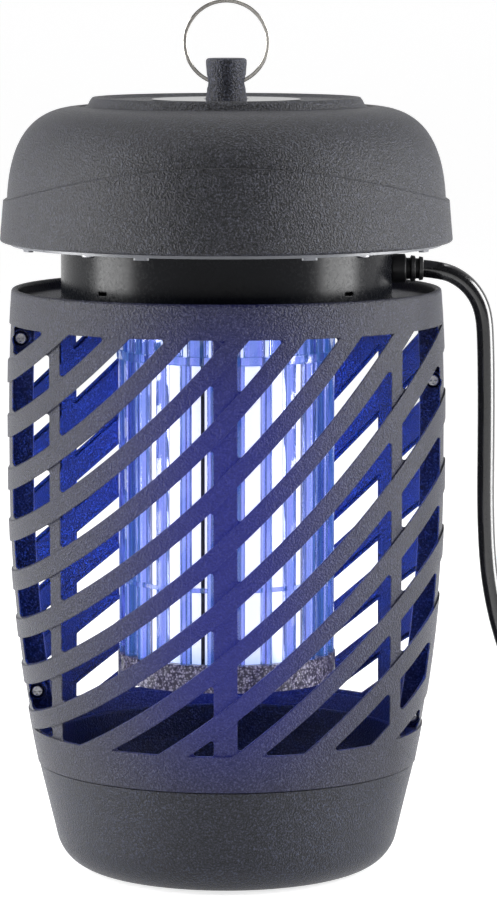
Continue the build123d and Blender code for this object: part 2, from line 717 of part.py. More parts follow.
CROWN_Z = BAR_HIGH_Z + RING_TOP_H
with BuildPart() as grid_crown:
    with BuildSketch(Plane.XY.offset(CROWN_Z)):
        with PolarLocations(BAR_OUT_R - CROWN_BLOCK_T / 2, BAR_COUNT):
            RectangleRounded(CROWN_BLOCK_T, CROWN_BLOCK_W, 0.6)
    extrude(amount=CROWN_BLOCK_H)
    with BuildSketch(Plane.XY.offset(CROWN_Z + CROWN_BLOCK_H)):
        Circle(BAR_OUT_R + 1.2)
        Circle(BAR_OUT_R - BAR_DEPTH, mode=Mode.SUBTRACT)
    extrude(amount=NECK_FLOOR_Z - CROWN_Z - CROWN_BLOCK_H)
    with Locations(*[polar(GRID_SCREW_AT, azimuth, NECK_FLOOR_Z) for azimuth in GRID_SCREW_AZ]):
        Hole(SCREW_R + SCREW_BITE, depth=GRID_SCREW_L - NECK_FLOOR_T + 0.7)
finish(grid_crown.part, "grid_crown")

grid_screws = [
    screw(Plane(polar(GRID_SCREW_AT, azimuth, NECK_FLOOR_TOP_Z)), GRID_SCREW_L)
    for azimuth in GRID_SCREW_AZ
]
finish(group(grid_screws), "grid_screws")

BASE_Z = BAR_LOW_Z - BASE_H
with BuildPart() as grid_base:
    with BuildSketch(Plane.XY.offset(BASE_Z)):
        Circle(BASE_R)
    extrude(amount=BASE_H)
    with BuildSketch(Plane.XY.offset(BASE_Z + BASE_WALL)):
        Circle(BAR_OUT_R - BAR_DEPTH - 0.1)
    extrude(amount=BASE_H, mode=Mode.SUBTRACT)
    with Locations((0, 0, BASE_Z + BASE_WALL)):
        Hole(SLEEVE_R - 6, depth=BASE_WALL)
    chamfer(grid_base.faces().sort_by(Axis.Z)[-1].edges(), 0.5)
finish(grid_base.part, "grid_base")

# ---- killing grid: rods behind the bars, alternately on two steel rings -----------------
ROD_LOW_Z = BASE_Z + BASE_WALL
LIVE_RING_Z = NECK_FLOOR_Z - 3.4
ROD_GAP = 4.0
ROD_STEP = 360 / BAR_COUNT


def rods(first_azimuth, low, high):
    """Every second rod of the grid."""
    with BuildPart() as bundle:
        with BuildSketch(Plane.XY.offset(low)):
            with PolarLocations(ROD_CIRCLE_R, BAR_COUNT // 2, first_azimuth):
                Circle(ROD_R)
        extrude(amount=high - low)
    return bundle.part


def bus_ring(z, inner_r):
    """Flat steel ring that joins the rods of one side of the supply."""
    with BuildPart() as ring:
        with BuildSketch(Plane.XY.offset(z)):
            Circle(BUS_OUT_R)
            Circle(inner_r, mode=Mode.SUBTRACT)
        extrude(amount=BUS_T)
    return ring.part


finish(rods(ROD_STEP / 2, ROD_LOW_Z + ROD_GAP, LIVE_RING_Z), "live_rods")
finish(rods(ROD_STEP * 1.5, ROD_LOW_Z + BUS_T, LIVE_RING_Z - ROD_GAP), "return_rods")
finish(bus_ring(LIVE_RING_Z, ROD_CIRCLE_R - ROD_R - 0.3), "live_ring")
finish(bus_ring(ROD_LOW_Z, SLEEVE_R + 0.2), "return_ring")

# ---- lamp -------------------------------------------------------------------------------
LAMP_TOP_Z = NECK_FLOOR_Z - 1.0
LAMP_BASE_Z = LAMP_TOP_Z - LAMP_BASE_H
with BuildPart() as lamp_tubes:
    for side in (-1, 1):
        with BuildLine() as bend:
            FilletPolyline(
                (-TUBE_AT, side * TUBE_AT, LAMP_BASE_Z),
                (-TUBE_AT, side * TUBE_AT, TUBE_LOW_Z),
                (TUBE_AT, side * TUBE_AT, TUBE_LOW_Z),
                (TUBE_AT, side * TUBE_AT, LAMP_BASE_Z),
                radius=TUBE_AT * 0.97,
            )
        with BuildSketch(Plane(origin=(-TUBE_AT, side * TUBE_AT, LAMP_BASE_Z), z_dir=(0, 0, -1))):
            Circle(TUBE_R)
        sweep(path=bend.wires()[0])
finish(lamp_tubes.part, "lamp_tubes")

with BuildPart() as lamp_base:
    with BuildSketch(Plane.XY.offset(LAMP_BASE_Z)):
        Circle(LAMP_BASE_R)
    extrude(amount=LAMP_BASE_H)
    chamfer(lamp_base.faces().sort_by(Axis.Z)[0].edges(), 1.5)
finish(lamp_base.part, "lamp_base")

with BuildPart() as lamp_socket:
    with BuildSketch(Plane.XY.offset(LAMP_TOP_Z)):
        Circle(SOCKET_R)
    extrude(amount=SOCKET_H + NECK_FLOOR_TOP_Z - LAMP_TOP_Z)
    with BuildSketch(Plane.XY.offset(NECK_FLOOR_TOP_Z)):
        Circle(SOCKET_R + 3)
    extrude(amount=2.0)
    fillet(lamp_socket.faces().sort_by(Axis.Z)[-1].edges(), 1.5)
finish(lamp_socket.part, "lamp_socket")

with BuildPart() as lamp_sleeve:
    with BuildSketch(Plane.XY.offset(ROD_LOW_Z)):
        Circle(SLEEVE_R)
        Circle(SLEEVE_R - SLEEVE_WALL, mode=Mode.SUBTRACT)
    extrude(amount=NECK_FLOOR_Z - ROD_LOW_Z)
finish(lamp_sleeve.part, "lamp_sleeve")

# ---- electronics over the cover ---------------------------------------------------------
BOARD_TOP_Z = BOARD_Z + BOARD_T
with BuildPart() as circuit_board:
    with BuildSketch(Plane.XY.offset(BOARD_Z)):
        Circle(BOARD_R)
        Circle(7, mode=Mode.SUBTRACT)
        with Locations(*[polar(STANDOFF_AT, azimuth) for azimuth in STANDOFF_AZ]):
            Circle(SCREW_R + SCREW_HOLE, mode=Mode.SUBTRACT)
    extrude(amount=BOARD_T)
finish(circuit_board.part, "circuit_board")

board_screws = [
    screw(Plane(polar(STANDOFF_AT, azimuth, BOARD_TOP_Z)), BOARD_SCREW_L)
    for azimuth in STANDOFF_AZ
]
finish(group(board_screws), "board_screws")

CORE_AT = (-28.0, 0.0)
with BuildPart() as transformer_core:
    with Locations((*CORE_AT, BOARD_TOP_Z)):
        Box(CORE_X, CORE_Y / 2, CORE_Z, align=(Align.CENTER, Align.CENTER, Align.MIN))
    for side in (-1, 1):
        with Locations((CORE_AT[0] + side * CORE_X / 5, CORE_AT[1], BOARD_TOP_Z + CORE_LEG)):
            Box(
                CORE_X / 5,
                CORE_Y,
                CORE_Z - 2 * CORE_LEG,
                align=(Align.CENTER, Align.CENTER, Align.MIN),
                mode=Mode.SUBTRACT,
            )
finish(transformer_core.part, "transformer_core")

with BuildPart() as transformer_winding:
    with Locations((*CORE_AT, BOARD_TOP_Z + CORE_LEG)):
        Box(
            CORE_X * 0.6,
            CORE_Y,
            CORE_Z - 2 * CORE_LEG,
            align=(Align.CENTER, Align.CENTER, Align.MIN),
        )
        Box(
            CORE_X * 0.2,
            CORE_Y / 2,
            CORE_Z,
            align=(Align.CENTER, Align.CENTER, Align.MIN),
            mode=Mode.SUBTRACT,
        )
    fillet(transformer_winding.edges().filter_by(Axis.Z).group_by(Axis.Y)[0], 2.0)
    fillet(transformer_winding.edges().filter_by(Axis.Z).group_by(Axis.Y)[-1], 2.0)
finish(transformer_winding.part, "transformer_winding")

with BuildPart() as hv_capacitors:
    with BuildSketch(Plane.XY.offset(BOARD_TOP_Z)):
        with Locations((6, 26), (22, 26), (6, -26), (22, -26)):
            Circle(CAPACITOR_R)
    extrude(amount=CAPACITOR_H)
    fillet(hv_capacitors.faces().group_by(Axis.Z)[-1].edges(), 0.8)
finish(hv_capacitors.part, "hv_capacitors")

with BuildPart() as rectifier_diodes:
    for y in (-9, -3, 3, 9):
        with BuildSketch(Plane(origin=(14, y, BOARD_TOP_Z + DIODE_R), z_dir=(1, 0, 0))):
            Circle(DIODE_R)
        extrude(amount=DIODE_L)
finish(rectifier_diodes.part, "rectifier_diodes")

BLOCK_LOW_Z = BOARD_Z - BLOCK_Z
with BuildPart() as terminal_block:
    with Locations((BLOCK_AT, 0, BLOCK_LOW_Z)):
        Box(BLOCK_X, BLOCK_Y, BLOCK_Z, align=(Align.CENTER, Align.CENTER, Align.MIN))
    with Locations(
        Plane(origin=(BLOCK_AT + BLOCK_X / 2, -BLOCK_Y / 4, BLOCK_LOW_Z + BLOCK_Z / 2), z_dir=(1, 0, 0)),
        Plane(origin=(BLOCK_AT + BLOCK_X / 2, BLOCK_Y / 4, BLOCK_LOW_Z + BLOCK_Z / 2), z_dir=(1, 0, 0)),
    ):
        Hole(WIRE_R + 0.6, depth=6)
finish(terminal_block.part, "terminal_block")

# ---- wires ------------------------------------------------------------------------------
CONDUCTOR_START_X = NECK_R - NECK_WALL - 4.3
conductors = [
    tube(
        [
            (CONDUCTOR_START_X, side * 1.4, CORD_Z),
            (CONDUCTOR_START_X - 5, side * 2.6, CORD_Z + 0.4),
            (COVER_HOLE_R - 3.5, side * BLOCK_Y / 4, BLOCK_LOW_Z + 3.4),
            (BLOCK_AT + BLOCK_X / 2 - 4, side * BLOCK_Y / 4, BLOCK_LOW_Z + BLOCK_Z / 2),
        ],
        2 * WIRE_R,
        "mains conductor",
    )
    for side in (-1, 1)
]
finish(group(conductors), "mains_conductors")


def grid_lead(place, low):
    """Straight insulated lead from the circuit board down to a ring of the grid."""
    with BuildPart() as lead:
        with BuildSketch(Plane(origin=(place[0], place[1], low))):
            Circle(LEAD_R)
        extrude(amount=BOARD_Z - low)
    return lead.part


finish(grid_lead(LIVE_LEAD_AT, LIVE_RING_Z + BUS_T), "live_lead")
finish(grid_lead(RETURN_LEAD_AT, ROD_LOW_Z + BUS_T), "return_lead")

# ---- strain relief ----------------------------------------------------------------------
with BuildPart() as strain_relief:
    with BuildSketch(Plane.XZ):
        with BuildLine():
            Polyline(
                (NECK_R - NECK_WALL - 4, CORD_Z),
                (NECK_R - NECK_WALL - 4, CORD_Z + RELIEF_R - 0.2),
                (NECK_R - NECK_WALL - 0.2, CORD_Z + RELIEF_R - 0.2),
                (NECK_R - NECK_WALL - 0.2, CORD_Z + RELIEF_R - 1.0),
                (NECK_R + 0.1, CORD_Z + RELIEF_R - 1.0),
                (NECK_R + 0.1, CORD_Z + RELIEF_R),
                (EXIT_X - 6.4, CORD_Z + RELIEF_R),
                (EXIT_X - 5.8, CORD_Z + RELIEF_R - 1.4),
                (EXIT_X - 4.6, CORD_Z + RELIEF_R - 1.4),
                (EXIT_X - 4.2, CORD_Z + RELIEF_R - 0.5),
                (EXIT_X - 2.9, CORD_Z + RELIEF_R - 0.7),
                (EXIT_X - 2.5, CORD_Z + RELIEF_R - 1.6),
                (EXIT_X - 1.6, CORD_Z + RELIEF_R - 1.6),
                (EXIT_X - 1.3, CORD_Z + RELIEF_R - 0.9),
                (EXIT_X, CORD_Z + RELIEF_TIP_R),
                (EXIT_X, CORD_Z),
                (NECK_R - NECK_WALL - 4, CORD_Z),
            )
        make_face()
    revolve(axis=Axis((0, 0, CORD_Z), (1, 0, 0)))
finish(strain_relief.part, "strain_relief")

# ---- mains lead: free tube, coil, tail and plug -----------------------------------------
finish(tube(CORD_ROUTE, CORD_D, "cord"), "cord")
finish(tube(TAIL_ROUTE, CORD_D, "cord tail"), "cord_tail")

with BuildPart() as cord_coil:
    with BuildSketch(Plane.XY):
        with Locations((COIL_X, COIL_Y)):
            Circle(COIL_OUT_R)
            Circle(COIL_IN_R, mode=Mode.SUBTRACT)
    extrude(amount=COIL_H)
    fillet(cord_coil.edges(), CORD_D / 2 * 0.9)
finish(cord_coil.part, "cord_coil")

plug_plane = Plane(origin=(PLUG_X, PLUG_Y, PLUG_T / 2), x_dir=(1, 0, 0), z_dir=(0, -1, 0))
plug_sections = [
    (0, PLUG_NECK, PLUG_NECK),
    (PLUG_L * 0.5, PLUG_WAIST, PLUG_T),
    (PLUG_L, PLUG_W, PLUG_T),
]
with BuildPart() as plug_body:
    for near, far in zip(plug_sections, plug_sections[1:]):
        for along, width, height in (near, far):
            with BuildSketch(plug_plane.offset(along)):
                RectangleRounded(width, height, PLUG_ROUND)
        loft()
finish(plug_body.part, "plug_body")

with BuildPart() as plug_blades:
    with BuildSketch(plug_plane.offset(PLUG_L)):
        with GridLocations(BLADE_GAP, 0, 2, 1):
            Rectangle(BLADE_T, BLADE_W)
    extrude(amount=BLADE_L)
finish(plug_blades.part, "plug_blades")
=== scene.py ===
"""Looks of the electric bug zapper: camera, studio, mains cord, materials and the lamp's glow, partly
painted onto the plastics as colour and emission.

Metres, in the same frame as the CAD model: the origin is on the axis at floor level,
+Z is up and the front faces -Y.
"""

import json
import math

import bpy
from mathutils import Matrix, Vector


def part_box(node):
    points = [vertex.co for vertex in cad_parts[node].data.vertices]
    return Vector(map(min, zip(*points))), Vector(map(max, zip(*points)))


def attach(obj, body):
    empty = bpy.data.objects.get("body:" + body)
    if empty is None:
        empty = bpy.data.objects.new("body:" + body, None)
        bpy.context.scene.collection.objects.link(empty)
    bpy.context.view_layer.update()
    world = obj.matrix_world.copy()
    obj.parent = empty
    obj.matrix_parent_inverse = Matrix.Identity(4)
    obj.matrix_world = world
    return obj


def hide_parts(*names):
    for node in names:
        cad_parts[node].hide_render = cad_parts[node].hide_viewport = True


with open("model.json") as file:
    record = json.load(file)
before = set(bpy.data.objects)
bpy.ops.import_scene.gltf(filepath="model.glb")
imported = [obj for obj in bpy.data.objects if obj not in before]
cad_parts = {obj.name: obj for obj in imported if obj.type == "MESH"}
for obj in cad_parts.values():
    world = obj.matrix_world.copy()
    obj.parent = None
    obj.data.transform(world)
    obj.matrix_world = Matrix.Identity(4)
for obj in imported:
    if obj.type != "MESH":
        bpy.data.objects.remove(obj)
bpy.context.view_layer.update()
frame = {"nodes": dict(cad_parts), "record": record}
nodes = frame["nodes"]
scene = bpy.context.scene
MM = 0.001

# ---- camera -----------------------------------------------------------------------------
SENSOR = 36.0
LENS = 168.0
CLIP_NEAR, CLIP_FAR = 0.05, 200
CAMERA_AT = Vector((0.0078, -1.483, 0.324))
CAMERA_AIM_Z = 0.149


def make_camera():
    """A long lens a little above the object, level with its front."""
    data = bpy.data.cameras.new("camera")
    data.sensor_width = SENSOR
    data.lens = LENS
    data.clip_start = CLIP_NEAR
    data.clip_end = CLIP_FAR
    camera = bpy.data.objects.new("camera", data)
    scene.collection.objects.link(camera)
    camera.location = CAMERA_AT
    aim = Vector((CAMERA_AT.x, 0, CAMERA_AIM_Z))
    camera.rotation_euler = (aim - CAMERA_AT).to_track_quat("-Z", "Y").to_euler()
    scene.camera = camera


make_camera()

# ---- mains cord: route from the gland, coil on the floor, tail to the plug ---------------
CORD_D = 6.2
COIL_X, COIL_Y = 165.0, 42.0
COIL_OUT_R = 45.0
PLUG_X = COIL_X - COIL_OUT_R + CORD_D / 2
PLUG_Y = 3.0
CORD_ROUTE = [
    (69.5, 0.0, 213.7),
    (76.4, 0.0, 213.1),
    (83.0, 0.1, 210.1),
    (88.1, 0.1, 205.0),
    (91.3, 0.2, 197.6),
    (92.0, 0.2, 185.0),
    (92.3, 0.3, 161.0),
    (92.1, 0.3, 122.0),
    (94.3, 0.2, 97.0),
    (101.0, 0.2, 73.0),
    (111.5, 0.1, 51.0),
    (124.0, 0.1, 30.5),
    (139.0, 0.0, 12.0),
    (152.0, -0.1, 4.2),
]
TAIL_ROUTE = [
    (PLUG_X, 24.0, 9.3),
    (PLUG_X + 0.3, 14.0, 8.2),
    (PLUG_X, PLUG_Y - 1.0, 7.6),
]
COIL_TURNS = 4.75
POINTS_PER_TURN = 20


def smooth(value, start, end):
    """0 before start, 1 after end and a smooth step between."""
    share = min(1.0, max(0.0, (value - start) / (end - start)))
    return share * share * (3 - 2 * share)


def coil_points():
    """Three flat windings inwards on the floor, then a second layer outwards on top of them."""
    outer = COIL_OUT_R - CORD_D / 2
    points = []
    for index in range(int(COIL_TURNS * POINTS_PER_TURN) + 1):
        turn = index / POINTS_PER_TURN
        inwards = smooth(turn, 0.72, 1.0) + smooth(turn, 1.72, 2.0)
        outwards = smooth(turn, 3.22, 3.5) + smooth(turn, 4.22, 4.5)
        radius = outer - CORD_D * (inwards - outwards)
        height = CORD_D / 2 + CORD_D * smooth(turn, 2.48, 2.74)
        angle = math.radians(360 * turn - 90)
        points.append((COIL_X + radius * math.cos(angle), COIL_Y + radius * math.sin(angle), height))
    return points


def make_cord():
    """One open spline through the whole length of the lead."""
    route = CORD_ROUTE + coil_points() + TAIL_ROUTE
    curve = bpy.data.curves.new("mains_cord", "CURVE")
    curve.dimensions = "3D"
    curve.bevel_depth = 1.0  # times each point's own radius
    curve.bevel_resolution = 6
    curve.resolution_u = 6
    curve.use_fill_caps = True
    spline = curve.splines.new("NURBS")
    spline.points.add(len(route) - 1)
    for point, place in zip(spline.points, route):
        point.co = (*(Vector(place) * MM), 1)
        point.radius = CORD_D / 2 * MM
    spline.order_u = 3
    spline.use_endpoint_u = True
    cord = bpy.data.objects.new("mains_cord", curve)
    scene.collection.objects.link(cord)
    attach(cord, "housing")
    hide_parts("cord", "cord_tail", "cord_coil")
    return cord


cord = make_cord()

# ---- material helpers -------------------------------------------------------------------


class Finish:
    """A node material with a Principled shader and short calls for the nodes it needs."""

    def __init__(self, name, **sockets):
        self.material = bpy.data.materials.new(name)
        self.material.use_nodes = True
        self.tree = self.material.node_tree
        self.shader = self.tree.nodes["Principled BSDF"]
        self.place = self.node("ShaderNodeTexCoord").outputs["Object"]
        for socket, value in sockets.items():
            self.set(socket.replace("_", " "), value)

    def node(self, kind, **values):
        made = self.tree.nodes.new(kind)
        for name, value in values.items():
            setattr(made, name, value)
        return made

    def join(self, source, target):
        self.tree.links.new(source, target)

    def set(self, socket, value):
        """A plain number or colour on the shader's own socket."""
        self.shader.inputs[socket].default_value = (*value, 1) if isinstance(value, tuple) else value

    def feed(self, socket, source):
        self.join(source, self.shader.inputs[socket])

    def stretched(self, scale):
        """Object coordinates, multiplied along each axis."""
        mapping = self.node("ShaderNodeMapping")
        mapping.inputs["Scale"].default_value = scale
        self.join(self.place, mapping.inputs["Vector"])
        return mapping.outputs["Vector"]

    def noise(self, scale, detail=2.0, roughness=0.5, place=None):
        made = self.node("ShaderNodeTexNoise")
        made.inputs["Scale"].default_value = scale
        made.inputs["Detail"].default_value = detail
        made.inputs["Roughness"].default_value = roughness
        self.join(place or self.place, made.inputs["Vector"])
        return made.outputs["Fac"]

    def cells(self, scale, place=None):
        made = self.node("ShaderNodeTexVoronoi", feature="F1")
        made.inputs["Scale"].default_value = scale
        self.join(place or self.place, made.inputs["Vector"])
        return made.outputs["Distance"]

    def ramp(self, source, *stops):
        """Colour ramp through (position, colour) stops."""
        made = self.node("ShaderNodeValToRGB")
        elements = made.color_ramp.elements
        for _ in range(len(stops) - len(elements)):
            elements.new(0.5)
        for element, (position, colour) in zip(elements, stops):
            element.position = position
            element.color = (*colour, 1)
        self.join(source, made.inputs["Fac"])
        return made.outputs["Color"]

    def span(self, source, low, high, start=0.0, end=1.0):
        """The source mapped from start..end to low..high."""
        made = self.node("ShaderNodeMapRange")
        made.inputs["From Min"].default_value = start
        made.inputs["From Max"].default_value = end
        made.inputs["To Min"].default_value = low
        made.inputs["To Max"].default_value = high
        self.join(source, made.inputs["Value"])
        return made.outputs["Result"]

    def maths(self, operation, first, second=None):
        made = self.node("ShaderNodeMath", operation=operation)
        for value, socket in zip((first, second), made.inputs):
            if value is None:
                continue
            if isinstance(value, (int, float)):
                socket.default_value = value
            else:
                self.join(value, socket)
        return made.outputs["Value"]

    def mix(self, share, first, second, blend="MIX"):
        """Two colours, or colour outputs, mixed by a number or an output."""
        made = self.node("ShaderNodeMix", data_type="RGBA", blend_type=blend)
        for value, socket in ((share, made.inputs[0]), (first, made.inputs[6]), (second, made.inputs[7])):
            if isinstance(value, tuple):
                socket.default_value = (*value, 1)
            elif isinstance(value, (int, float)):
                socket.default_value = value
            else:
                self.join(value, socket)
        return made.outputs[2]

    def axes(self):
        """X, Y and Z of the object coordinates."""
        made = self.node("ShaderNodeSeparateXYZ")
        self.join(self.place, made.inputs[0])
        return made.outputs

    def relief(self, height, strength, distance, soften=None):
        """Bump from a height, over edges rounded to the radius soften."""
        bump = self.node("ShaderNodeBump")
        bump.inputs["Strength"].default_value = strength
        bump.inputs["Distance"].default_value = distance
        self.join(height, bump.inputs["Height"])
        if soften:
            bevel = self.node("ShaderNodeBevel", samples=4)
            bevel.inputs["Radius"].default_value = soften
            self.join(bevel.outputs["Normal"], bump.inputs["Normal"])
        self.feed("Normal", bump.outputs["Normal"])


def shade(colour, share):
    """The colour, multiplied by a number."""
    return tuple(channel * share for channel in colour)


GRAIN_PER_M = 1500.0
PAINTED_SPARKLE = 2.8  # the brightest specks of the grain, painted sparkle, as a share of its light tone
# Place and reach of the painted lamp glow on the cage.
PAINTED_GLOW_CENTRE_Z = 0.122
PAINTED_GLOW_HALF_WIDTH = 0.036
PAINTED_GLOW_HALF_HEIGHT = 0.074


def painted_glow_share(finish):
    """Mask of the painted lamp glow: 1 in front of and behind the middle of the lamp, falling off to its
    sides and its ends.
    """
    x, y, z = finish.axes()
    aside = finish.maths("DIVIDE", finish.maths("ABSOLUTE", x), PAINTED_GLOW_HALF_WIDTH)
    off_centre = finish.maths("ABSOLUTE", finish.maths("SUBTRACT", z, PAINTED_GLOW_CENTRE_Z))
    along = finish.maths("DIVIDE", off_centre, PAINTED_GLOW_HALF_HEIGHT)
    spread = finish.maths("ADD", finish.maths("POWER", aside, 2.0), finish.maths("POWER", along, 4.0))
    return finish.maths("EXPONENT", finish.maths("MULTIPLY", spread, -1.0))


def spark_plastic(name, dark, light, painted_glow=None):
    """Charcoal plastic from a spark-eroded mould: pebbly grain with painted sparkle, a slow change of tone
    and, where a glow colour is given, a painted glow of the lamp.
    """
    finish = Finish(name, Specular_IOR_Level=0.26)
    pebbles = finish.noise(GRAIN_PER_M, detail=2.5, roughness=0.6)
    slow = finish.noise(28.0, detail=3.0)
    # The top stop of the grain is painted sparkle; the lower stops are the grain's own tone.
    grain = finish.ramp(pebbles, (0.4, dark), (0.56, light), (0.68, shade(light, PAINTED_SPARKLE)))
    tone = finish.span(slow, 0.86, 1.14, 0.3, 0.7)
    colour = finish.mix(1.0, grain, finish.ramp(tone, (0, (0, 0, 0)), (1, (1, 1, 1))), "MULTIPLY")
    finish.feed("Roughness", finish.span(pebbles, 0.3, 0.52, 0.35, 0.7))
    # Painted glow: the lamp's light on the cage, painted as colour turned towards deep blue and as
    # emission, strongest near the middle of the lamp.
    if painted_glow:
        share = painted_glow_share(finish)
        colour = finish.mix(finish.maths("MULTIPLY", share, 0.7), colour, (0.006, 0.006, 0.04))
        strength = finish.maths("MULTIPLY", share, finish.span(pebbles, 0.8, 1.25, 0.35, 0.7))
        finish.set("Emission Color", painted_glow)
        finish.feed("Emission Strength", strength)
    finish.feed("Base Color", colour)
    finish.relief(pebbles, 1.0, 0.0006, soften=0.0006)
    return finish.material


def gloss_plastic(name, colour, roughness=0.12, ripple=0.04):
    """Polished moulded plastic with faint flow waviness and fine handling marks."""
    finish = Finish(name, Specular_IOR_Level=0.16)
    waves = finish.noise(60.0, detail=1.0)
    marks = finish.noise(900.0, detail=4.0, roughness=0.7)
    cloud = finish.span(waves, 0.0, 0.35, 0.3, 0.7)
    finish.feed("Base Color", finish.mix(cloud, colour, shade(colour, 1.5)))
    finish.feed("Roughness", finish.span(marks, roughness * 0.8, roughness * 1.7, 0.35, 0.75))
    finish.relief(waves, ripple, 0.0005, soften=0.0004)
    return finish.material


def satin_plastic(name, colour, roughness=0.4, grain=700.0):
    """Plain moulded plastic with a fine satin grain."""
    finish = Finish(name)
    fine = finish.noise(grain, detail=3.0)
    slow = finish.noise(35.0)
    cloud = finish.span(slow, 0.0, 0.4, 0.3, 0.7)
    finish.feed("Base Color", finish.mix(cloud, colour, shade(colour, 0.75)))
    finish.feed("Roughness", finish.span(fine, roughness * 0.85, roughness * 1.2, 0.3, 0.7))
    finish.relief(fine, 0.12, 0.00015, soften=0.0003)
    return finish.material


def metal(name, colour, roughness, streak=(1.0, 1.0, 1.0), strength=0.1):
    """Bare or plated metal with drawing marks along one axis."""
    finish = Finish(name, Metallic=1.0)
    marks = finish.noise(1500.0, detail=4.0, roughness=0.65, place=finish.stretched(streak))
    tarnish = finish.noise(90.0, detail=3.0)
    cloud = finish.span(tarnish, 0.0, 0.5, 0.4, 0.75)
    finish.feed("Base Color", finish.mix(cloud, colour, shade(colour, 0.7)))
    finish.feed("Roughness", finish.span(marks, roughness * 0.7, roughness * 1.5, 0.3, 0.7))
    finish.relief(marks, strength, 0.0001)
    return finish.material


def clear_plastic(name, tint, roughness, painted_glow, strength):
    """Clear acrylic with a painted glow along its streaks, for the lamp's light that it carries in its
    edges.
    """
    finish = Finish(name, Transmission_Weight=0.92, IOR=1.49, Coat_Weight=0.2)
    streaks = finish.noise(700.0, detail=3.0, place=finish.stretched((1.0, 1.0, 0.03)))
    cloud = finish.span(streaks, 0.0, 0.8, 0.4, 0.62)
    finish.feed("Base Color", finish.mix(cloud, tint, shade(tint, 0.55)))
    finish.feed("Roughness", finish.span(streaks, roughness, roughness * 2.5, 0.35, 0.7))
    # Painted glow: emission in the lamp's blue, strongest in the streaks.
    finish.set("Emission Color", painted_glow)
    finish.feed("Emission Strength", finish.span(streaks, 0.0, strength, 0.38, 0.72))
    finish.relief(streaks, 0.12, 0.0004, soften=0.0004)
    return finish.material


def frosted_plastic(name):
    """Speckled, half-clear ring at the foot of the column, with a painted glow for the light from inside.
    """
    finish = Finish(name, Transmission_Weight=0.25, IOR=1.49, Coat_Weight=0.3)
    specks = finish.cells(1100.0)
    blots = finish.noise(650.0, detail=4.0, roughness=0.75)
    pattern = finish.maths("MULTIPLY", specks, finish.span(blots, 0.4, 1.9, 0.35, 0.65))
    speckle = finish.ramp(
        pattern,
        (0.1, (0.5, 0.48, 0.58)),
        (0.42, (0.16, 0.14, 0.24)),
        (0.75, (0.02, 0.015, 0.05)),
    )
    finish.feed("Base Color", speckle)
    finish.feed("Roughness", finish.span(blots, 0.2, 0.5, 0.3, 0.7))
    # Painted glow: lavender emission, strongest in the light specks.
    finish.set("Emission Color", (0.55, 0.5, 0.75))
    finish.feed("Emission Strength", finish.span(pattern, 0.22, 0.0, 0.05, 0.5))
    finish.relief(pattern, 0.5, 0.0004)
    return finish.material


def lit_sleeve(name):
    """Opal sleeve round the tubes: even lavender-white light, a little bluer towards its ends."""
    finish = Finish(name, Base_Color=(0.8, 0.82, 0.9), Roughness=0.35)
    x, y, z = finish.axes()
    streaks = finish.noise(160.0, detail=2.0, place=finish.stretched((1.0, 1.0, 0.02)))
    low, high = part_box("lamp_sleeve")
    end = finish.maths("ABSOLUTE", finish.span(z, -1.0, 1.0, low.z, high.z))
    light = finish.ramp(
        end,
        (0.0, (0.86, 0.86, 1.0)),
        (0.78, (0.8, 0.83, 1.0)),
        (0.97, (0.3, 0.5, 1.0)),
    )
    finish.feed("Emission Color", light)
    finish.feed("Emission Strength", finish.span(streaks, 0.82, 1.02, 0.35, 0.65))
    return finish.material


def rubber(name, colour, roughness=0.45):
    """Soft moulded plastic of one colour with a very fine grain."""
    finish = Finish(name)
    fine = finish.noise(1600.0, detail=3.0)
    finish.set("Base Color", colour)
    finish.feed("Roughness", finish.span(fine, roughness * 0.8, roughness * 1.25, 0.3, 0.7))
    finish.relief(fine, 0.15, 0.0001, soften=0.0003)
    return finish.material


def cord_pvc(name):
    """Glossy black cord with slow waviness from its coiling."""
    finish = Finish(name, Base_Color=(0.006, 0.006, 0.007), Coat_Weight=0.6, Coat_Roughness=0.08)
    slow = finish.noise(45.0, detail=2.0)
    marks = finish.noise(1200.0, detail=3.0)
    finish.feed("Roughness", finish.span(marks, 0.16, 0.3, 0.3, 0.75))
    finish.relief(slow, 0.1, 0.0006)
    return finish.material


def laminate(name):
    """Green board with copper-shadow tracks under the solder mask."""
    finish = Finish(name, Roughness=0.35, Coat_Weight=0.4)
    tracks = finish.node("ShaderNodeTexBrick")
    tracks.inputs["Scale"].default_value = 160.0
    tracks.inputs["Mortar Size"].default_value = 0.06
    finish.join(finish.place, tracks.inputs["Vector"])
    tracks.inputs["Color1"].default_value = (0.01, 0.12, 0.04, 1)
    tracks.inputs["Color2"].default_value = (0.015, 0.16, 0.05, 1)
    tracks.inputs["Mortar"].default_value = (0.03, 0.26, 0.09, 1)
    finish.feed("Base Color", tracks.outputs["Color"])
    return finish.material


def windings(name):
    """Enamelled wire wound in close turns."""
    finish = Finish(name, Metallic=0.7, Roughness=0.28)
    turns = finish.node("ShaderNodeTexWave", bands_direction="Z")
    turns.inputs["Scale"].default_value = 500.0
    finish.join(finish.place, turns.inputs["Vector"])
    copper = finish.ramp(turns.outputs["Fac"], (0.1, (0.2, 0.05, 0.01)), (0.7, (0.75, 0.3, 0.1)))
    finish.feed("Base Color", copper)
    finish.relief(turns.outputs["Fac"], 0.6, 0.0003)
    return finish.material
